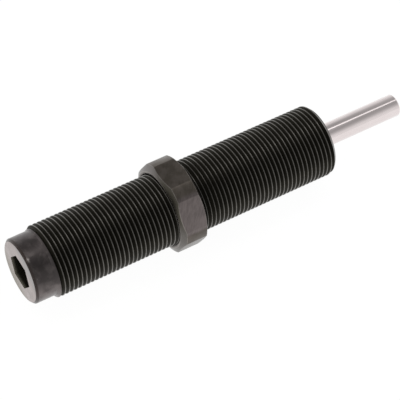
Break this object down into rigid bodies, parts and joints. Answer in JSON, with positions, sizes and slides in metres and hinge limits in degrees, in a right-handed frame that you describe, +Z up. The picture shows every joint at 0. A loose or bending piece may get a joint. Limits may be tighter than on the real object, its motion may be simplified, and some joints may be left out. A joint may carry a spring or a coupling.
{
  "type": "hydraulic shock absorber",
  "caption": "Threaded cylindrical industrial shock absorber with a hex locknut, a plain chromed piston rod and a hex socket in its rear end; brakes a moving load.",
  "frame": {"origin": "centre of the body's rear end face, on the axis", "axes": "+X along the axis towards the rod's tip; +Z up, square to two flats of the locknut"},
  "size_m": [0.0931, 0.0202, 0.019],
  "materials": {
    "black_oxide": "black oxide on turned steel, satin, rougher on the thread's flanks",
    "nut_oxide": "grey-brown oxide on milled steel, satin",
    "rod_chrome": "ground and hard-chromed, bright",
    "ball_steel": "polished",
    "plain_steel": "turned steel, satin",
    "tube_steel": "drawn steel, honed inside",
    "sintered_metal": "sintered, matt",
    "ring_iron": "ground cast iron, oily",
    "bronze": "bearing bronze, satin",
    "foam": "closed-cell nitrile foam, matt",
    "seal_rubber": "green-black sealing elastomer, satin",
    "black_rubber": "nitrile rubber, matt",
    "backup_plastic": "natural PTFE, matt",
    "clip_steel": "phosphated spring steel, satin",
    "spring_steel": "drawn spring wire, bright"
  },
  "bodies": {
    "barrel": {"body": "black_oxide", "fill_ball": "ball_steel", "base_plug": "plain_steel", "pressure_tube": "tube_steel", "rebound_washer": "black_rubber", "rod_bearing": "plain_steel", "bearing_bush": "bronze", "foam_accumulator": "foam", "gland": "plain_steel", "rod_seal": "seal_rubber", "backup_ring": "backup_plastic", "gland_o_ring": "black_rubber", "wiper": "seal_rubber", "retaining_ring": "clip_steel", "return_spring": "spring_steel"},
    "rod": {"piston_rod": "rod_chrome", "piston_head": "sintered_metal", "piston_ring": "ring_iron", "spring_seat": "plain_steel", "piston_nut": "plain_steel"},
    "check_plate": {"check_plate": "tube_steel"},
    "locknut": {"locknut": "nut_oxide"}
  },
  "joints": [
    {"name": "rod_stroke", "type": "slide", "parent": "barrel", "child": "rod", "axis": [-1, 0, 0], "range_m": [0, 0.02], "stiffness_N_per_m": 490, "springref_m": -0.0122, "deforming": ["return_spring"]},
    {"name": "check_plate_lift", "type": "slide", "parent": "rod", "child": "check_plate", "axis": [-1, 0, 0], "range_m": [0, 0.0006]},
    {"name": "locknut_travel", "type": "slide", "parent": "barrel", "child": "locknut", "axis": [1, 0, 0], "range_m": [-0.027, 0.032]}
  ]
}
